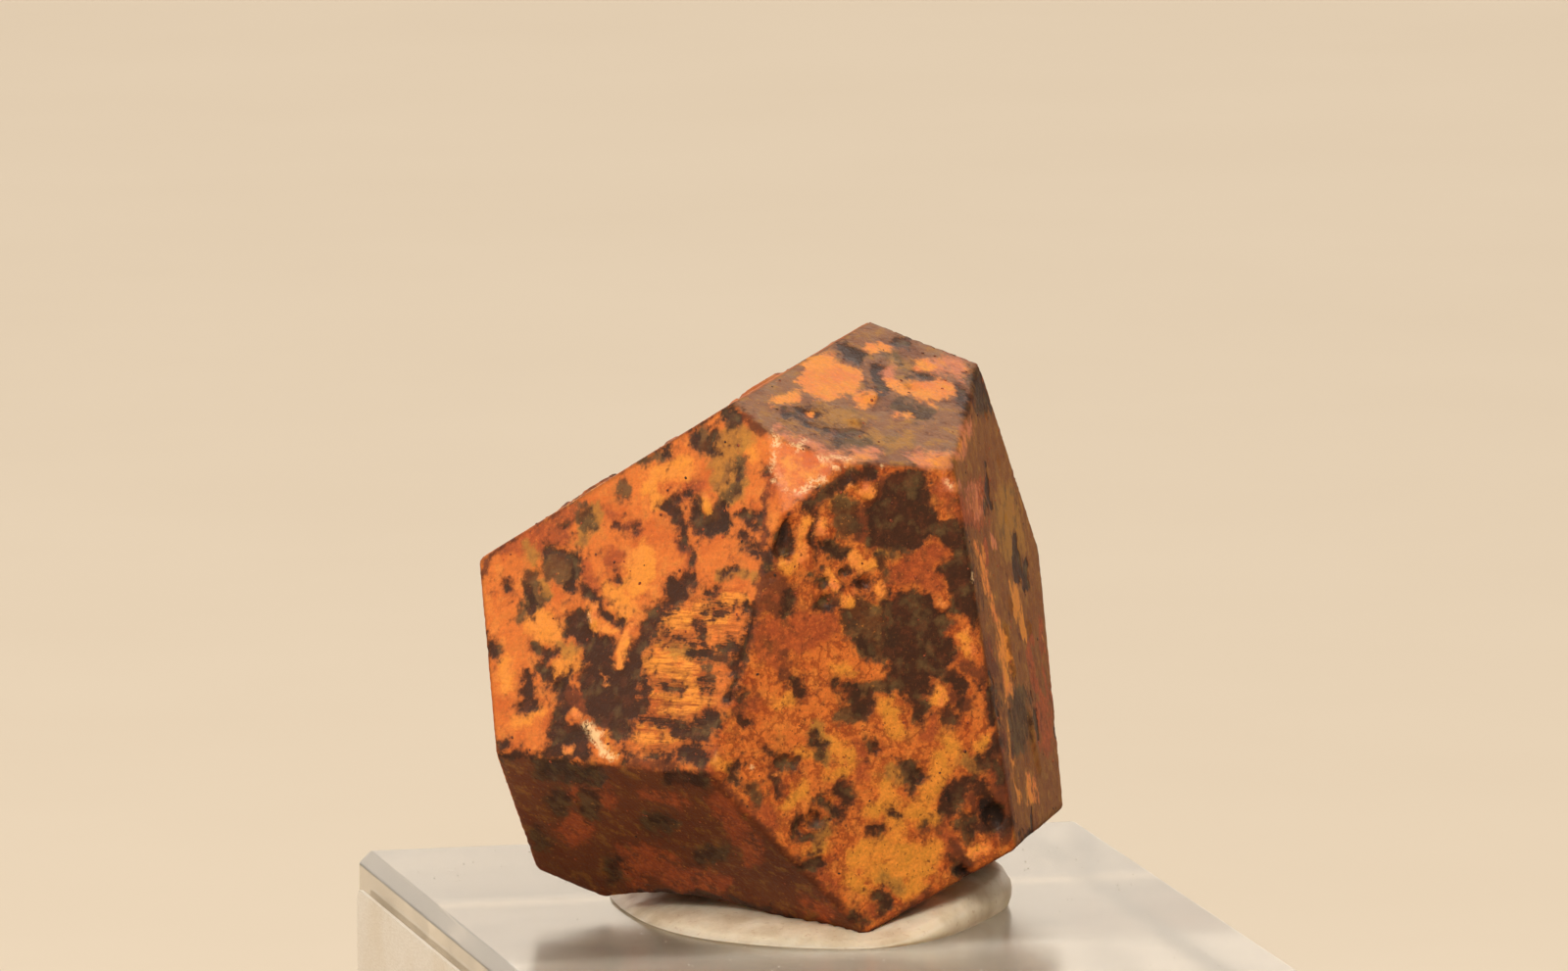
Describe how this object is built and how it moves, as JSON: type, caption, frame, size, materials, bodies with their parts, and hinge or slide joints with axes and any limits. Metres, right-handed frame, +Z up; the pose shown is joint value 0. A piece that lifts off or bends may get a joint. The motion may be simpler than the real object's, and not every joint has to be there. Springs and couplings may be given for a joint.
{
  "type": "goethite after pyrite crystal on a display block",
  "caption": "Brown-orange pyritohedral goethite pseudomorph with striated, pitted faces, set with putty on a clear bevelled display block that carries a bare card label.",
  "frame": {"origin": "centre of the display block's underside", "axes": "+Z up out of the block's top, -Y towards the viewer of the crystal's two large front faces, -X out of the label"},
  "size_m": [0.0513, 0.0636, 0.0642],
  "materials": {
    "goethite": "waxy brown-orange limonite crust, mottled with dark brown",
    "putty": "pale, slightly translucent mineral putty",
    "acrylic": "polished clear acrylic",
    "card": "matt uncoated card, bare"
  },
  "bodies": {
    "root": {"goethite_crystal": "goethite", "mounting_putty": "putty", "acrylic_block": "acrylic", "paper_label": "card"}
  },
  "joints": []
}
